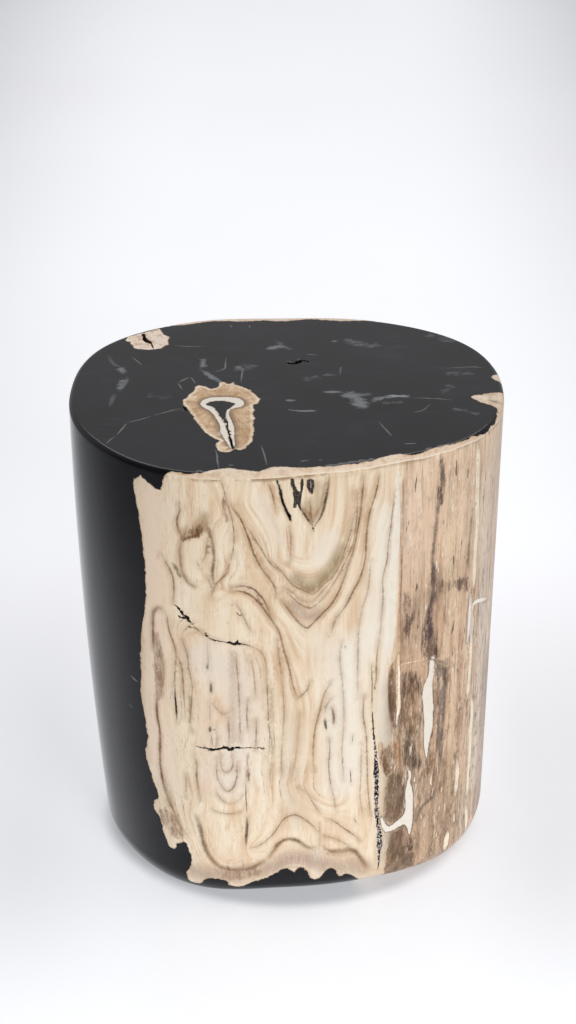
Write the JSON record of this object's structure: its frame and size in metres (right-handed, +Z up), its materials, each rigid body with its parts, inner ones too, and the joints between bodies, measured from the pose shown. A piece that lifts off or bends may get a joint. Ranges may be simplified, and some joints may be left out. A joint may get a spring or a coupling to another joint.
{
  "type": "petrified wood stool",
  "caption": "Solid upright block of polished petrified wood with a flat seat, a rounded foot, a dark heartwood top and a pale grained rind with open cracks.",
  "frame": {"origin": "on the floor, under the middle of the block's box", "axes": "+Z up through the block, -Y is the grained front, +X is the right end seen from the front"},
  "size_m": [0.388, 0.3474, 0.45],
  "materials": {
    "petrified_wood": "polished fossil wood, cream and brown grain on the front wall, black heartwood on the seat and the left wall"
  },
  "bodies": {
    "root": {"petrified_block": "petrified_wood"}
  },
  "joints": []
}
